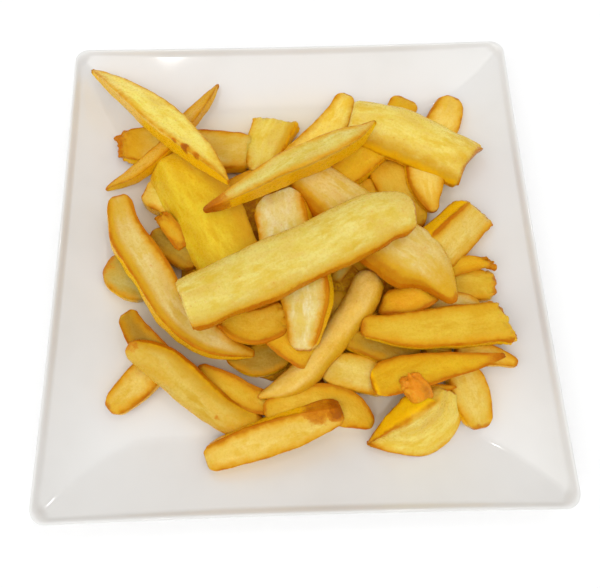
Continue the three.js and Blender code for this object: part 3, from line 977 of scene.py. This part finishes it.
CROWN_FRIES = [
    wedge("upper_left_crescent", Tone.YELLOW,
         [(-101, 97, 20), (-79, 76, 25), (-60, 57, 28), (-45, 43, 31), (-30, 28, 33)],
         (1, 11, 17, 19, 12, 1), 16, 31, browning=(0.2, 0.3, 0.0, 0.2), rim=(-0.5, -0.8),
         spots=((0.7, -1.1, 1.8, 1.5), (0.76, -1.0, 2.0, 1.9), (0.82, -1.1, 1.8, 1.5))),
    dome("crown_tan", Tone.CREAM, [(2, 38, 24), (22, 18, 27), (43, -2, 28), (58, -13, 27), (67, -27, 26)],
         (21, 24, 27, 29, 31, 32, 20, 4), 12, flank=0.3, browning=(0.2, 0.9, 0.3, 1.9), rim=(0.3, 2.6)),
    dome("rear_right_block", Tone.BUTTER, [(28, 65, 22), (47, 59, 22), (66, 50, 21), (86, 39, 20)],
         (24, 29, 29, 27), 14, browning=(0.1, 0.5, 0.0, 0.9), blunt=(0.9, 0.9), notch=(0.0, 3.5),
         slant=(0, 2)),
    baton("centre_slab", Tone.MILK, [(-8, 28, 20), (-4, 4, 24), (3, -23, 27), (1, -46, 26)],
         (24, 25, 23, 11), 11, -18, browning=(0.2, 0.3, 0.4, 0.0), rim=(0.5, 0.3)),
    wedge("cross_crescent", Tone.PALE,
         [(-41, 15, 33), (-27, 20, 35), (-4, 31, 36), (18, 41, 36), (30, 48, 36), (38, 56, 36)],
         (1, 9, 13, 15, 12, 1), 15, 26, browning=(0.5, 0.3, 0.0, 0.3), rim=(-0.2, -0.8),
         scorch=(1.8, 0.0)),
    dome("crown_long", Tone.PALE,
         [(-48, -28, 39), (-26, -19, 39), (-11, -13, 40), (16, -1, 41), (34, 7, 42), (50, 9, 42)],
         (24, 26, 27, 26, 27, 18), 15, flank=0.25, browning=(0.0, 0.3, 0.3, 0.55), blunt=(1.0, 0.5),
         rim=(0.0, 2.2), spots=((0.93, 0.1, 3.0, 0.12),)),
    slab("crispy_flake", Tone.RUST, [(42, -59, 24), (47, -63, 25), (50, -71, 21)],
         (7, 11, 7), 6, 10, flank=0.0, browning=(0.0, 0.0, 0.0, 0.0), rim=(-9, -9), belly=1.0,
         scorch=(0.6, 1.1), spots=((0.5, 0.3, 2.5, 0.8),), ragged=(1.3, 1.4)),
    wedge("curled_sliver", Tone.BUTTER, [(52, -63, 18), (59, -63, 18), (66, -62, 17)],
         (5, 4, 1), 5, 20, browning=(0.3, 0.9, 0.3, 0.3), scorch=(0.0, 0.5)),
]

HIDDEN_FRIES = [
    baton(f"hidden_{number}", Tone.GOLD, spine, widths, 10)
    for number, (spine, widths) in enumerate([
        ([(-39, 21, 10), (-22, -1, 10), (-13, -21, 10)], (11, 15, 11)),
        ([(-22, -34, 10), (0, -28, 10), (24, -22, 10)], (10, 13, 11)),
        ([(2, 20, 10), (23, 5, 10), (40, -15, 10)], (11, 15, 11)),
        ([(17, 28, 10), (39, 30, 10), (60, 19, 10)], (9, 13, 10)),
        ([(-50, -10, 10), (-34, -20, 10), (-17, -29, 10)], (10, 14, 11)),
        ([(47, -15, 10), (57, -32, 10), (62, -52, 10)], (10, 14, 10)),
        ([(-44, 29, 10), (-27, 34, 10), (-4, 44, 10)], (8, 13, 10)),
        ([(0, -44, 10), (20, -35, 10), (43, -34, 10)], (9, 13, 10)),
    ], start=1)
]


@dataclass
class Core:
    """Low lumpy mound that fills the heap below its upper fries, coloured a scorched and dimmed gold as
    painted shade where it shows through the gaps.
    """

    centre: Point = (2 * MM, -4 * MM, 5.6 * MM)
    reach: tuple[float, float] = (57 * MM, 54 * MM)
    top: float = 8 * MM
    relief: float = 3 * MM
    # The last two values scorch and dim the core's gold, as painted shade for the deep gaps.
    looks: dict[str, float] = field(default_factory=lambda: {
        "edge": 20.0, "tip": 20.0, "golden": 1.0, "browned": 0.0, "scorch": 0.7, "painted_shade": 0.8})

    def build(self) -> Object:
        """Models the mound and paints it a scorched, dimmed golden brown all over, as painted shade."""
        deselect()
        bpy.ops.mesh.primitive_ico_sphere_add(subdivisions=5, radius=1.0)
        core = bpy.context.object
        core.name = "heap_core"
        enter_mode("EDIT")
        bpy.ops.mesh.select_all(action="SELECT")
        bpy.ops.mesh.bisect(
            plane_co=(0, 0, 0), plane_no=(0, 0, 1), clear_inner=True, use_fill=True)
        bpy.ops.mesh.select_all(action="SELECT")
        bpy.ops.transform.resize(value=(*self.reach, self.top), center_override=(0.0, 0.0, 0.0))
        bpy.ops.transform.translate(value=self.centre)
        enter_mode("OBJECT")
        Heap.roughen(core, "mound_relief", 6 * MM, self.relief)
        only(core)
        bpy.ops.object.shade_smooth()
        count = len(core.data.vertices)
        gold = np.array([*Tone.GOLD.value, 1.0])
        Fry.store(core.data, "flesh", "FLOAT_COLOR", "color", np.tile(gold, count))
        for name, value in self.looks.items():
            Fry.store(core.data, name, "FLOAT", "value", np.full(count, value))
        return core


@dataclass
class Heap:
    """All the fries, joined into one piece for each cut, over a low core."""

    broad_relief: float = 1.3 * MM
    middle_relief: float = 0.5 * MM
    fine_relief: float = 0.2 * MM
    torn_relief: float = 5.0 * MM

    def build(self) -> list[Object]:
        """Builds every fry and joins those of one cut.

        Returns:
            One object for each cut.
        """
        groups: dict[Cut, list[Object]] = {cut: [] for cut in Cut}
        for fry in [*HIDDEN_FRIES, *FLOOR_FRIES, *LEANING_FRIES, *CROWN_FRIES]:
            groups[fry.cut].append(fry.build())
        pieces = [self._join(cut.value, members) for cut, members in groups.items()]
        return [*pieces, Core().build()]

    def _join(self, name: str, members: list[Object]) -> Object:
        """Joins fries into one piece and roughens it."""
        only(members[0])
        for member in members:
            member.select_set(True)
        bpy.ops.object.join()
        piece = members[0]
        piece.name = name
        self.roughen(piece, "broad", 14 * MM, self.broad_relief)
        self.roughen(piece, "middle", 5 * MM, self.middle_relief)
        self.roughen(piece, "fine", 2 * MM, self.fine_relief)
        self.roughen(piece, "torn", 2.5 * MM, self.torn_relief, "torn")
        only(piece)
        bpy.ops.object.shade_smooth()
        log.info("%s: %d fries, %d triangles", name, len(members), 2 * len(piece.data.polygons))
        return piece

    @staticmethod
    def roughen(piece: Object, name: str, size: float, strength: float,
                group: str = "") -> None:
        """Displaces a piece by soft noise in its own coordinates, or only one group of its points."""
        texture = bpy.data.textures.new(f"{piece.name}_{name}", "CLOUDS")
        texture.noise_scale = size
        texture.noise_depth = 1
        apply_modifier(piece, "DISPLACE", texture=texture, strength=strength, mid_level=0.5,
                       texture_coords="LOCAL", vertex_group=group)

    @staticmethod
    def dress(pieces: Iterable[Object]) -> None:
        """Gives the fries their finish and their place in the frame."""
        material = FriedPotato().build()
        for piece in pieces:
            piece.data.materials.clear()
            piece.data.materials.append(material)
            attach(piece, BODY)
            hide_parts("fries_heap")


# ------------------------------------------------------------------ the studio


@dataclass
class Studio:
    """Pale table, soft light and the camera."""

    brightest: Point = (-0.14, -0.48, 1.0)
    stretch: Point = (0.55, 1.7, 1.0)
    glow_edge: tuple[float, float] = (0.8, 1.0)
    glow: tuple[float, float] = (0.69, 2.3)
    image: tuple[int, int] = (600, 588)
    focal_px: float = 600.0
    axis_px: tuple[float, float] = (285.4, 219.0)
    tilt_degrees: tuple[float, float, float] = (-19.37, 0.65, 1.45)
    rim_height: float = 20 * MM
    eye: Point = (-8.2 * MM, -77.2 * MM, 262.2 * MM)
    sensor: float = 36.0

    def camera(self) -> Object:
        """Places the camera above the front of the plate, looking down."""
        data = bpy.data.cameras.new("camera")
        data.sensor_width = self.sensor
        data.lens = self.sensor * self.focal_px / self.image[0]
        data.shift_x = (self.image[0] / 2 - self.axis_px[0]) / self.image[0]
        data.shift_y = (self.axis_px[1] - self.image[1] / 2) / self.image[0]
        data.clip_start = 10 * MM
        camera = bpy.data.objects.new("camera", data)
        bpy.context.collection.objects.link(camera)
        rx, ry, rz = (math.radians(value) for value in self.tilt_degrees)
        turn = Matrix.Rotation(rz, 3, "Z") @ Matrix.Rotation(ry, 3, "Y") @ Matrix.Rotation(rx, 3, "X")
        place = Vector(self.eye) + Vector((0.0, 0.0, self.rim_height))
        camera.matrix_world = Matrix.Translation(place) @ turn.transposed().to_4x4()
        bpy.context.scene.camera = camera
        return camera

    def table(self) -> None:
        """Wide plain table just under the plate's foot."""
        deselect()
        bpy.ops.mesh.primitive_plane_add(size=6.0, location=(0.0, 0.0, -0.2 * MM))
        table = bpy.context.object
        table.name = "table_top"
        bpy.ops.object.transform_apply(location=True, rotation=True, scale=True)
        enter_mode("EDIT")
        bpy.ops.mesh.subdivide(number_cuts=3)
        enter_mode("OBJECT")
        table.data.materials.append(TableTop().build())

    def light(self, name: str, place: Point, aim: Point, size: float, power: float) -> None:
        """Adds one square area light.

        Args:
            name: Name of the light.
            place: Where it hangs.
            aim: The point that it faces.
            size: Side of the square.
            power: Watts.
        """
        data = bpy.data.lights.new(name, "AREA")
        data.size = size
        data.energy = power
        lamp = bpy.data.objects.new(name, data)
        bpy.context.collection.objects.link(lamp)
        lamp.location = place
        lamp.rotation_euler = (Vector(aim) - Vector(place)).to_track_quat("-Z", "Y").to_euler()

    def lights(self) -> None:
        """A white room with a broad bright window over its front, and two small lamps for the glints."""
        middle = (0.0, 0.0, 0.0)
        small = 0.03
        self.light("front_left", (-0.26, -0.46, 1.05), middle, small, 0.6)
        self.light("right", (0.24, 0.33, 1.05), middle, small, 0.6)
        world = bpy.data.worlds.new("soft_room")
        world.use_nodes = True
        tree = world.node_tree
        way = tree.nodes.new("ShaderNodeTexCoord")
        wide, unit, lean = (tree.nodes.new("ShaderNodeVectorMath") for _ in range(3))
        wide.operation = "MULTIPLY"
        wide.inputs[1].default_value = self.stretch
        unit.operation = "NORMALIZE"
        lean.operation = "DOT_PRODUCT"
        lean.inputs[1].default_value = Vector(self.brightest).normalized()
        glow = tree.nodes.new("ShaderNodeMapRange")
        glow.interpolation_type = "SMOOTHSTEP"
        for socket, value in zip(glow.inputs[1:5], (*self.glow_edge, *self.glow)):
            socket.default_value = value
        background = tree.nodes["Background"]
        background.inputs["Color"].default_value = (1.0, 1.0, 1.0, 1.0)
        tree.links.new(way.outputs["Generated"], wide.inputs[0])
        tree.links.new(wide.outputs["Vector"], unit.inputs[0])
        tree.links.new(unit.outputs["Vector"], lean.inputs[0])
        tree.links.new(lean.outputs["Value"], glow.inputs[0])
        tree.links.new(glow.outputs[0], background.inputs["Strength"])
        bpy.context.scene.world = world
        bpy.context.scene.view_settings.view_transform = "Standard"

    def build(self) -> None:
        """Sets up the whole studio."""
        self.camera()
        self.table()
        self.lights()


def main() -> None:
    """Builds the plate, the fries and the studio, in order."""
    logging.basicConfig(level=logging.INFO, format="%(name)s: %(message)s")
    Studio().build()
    plate = Plate()
    piece = plate.build()
    plate.dress(piece)
    log.info("%s: %d faces", piece.name, len(piece.data.polygons))
    heap = Heap()
    heap.dress(heap.build())


if __name__ == "__main__":
    main()
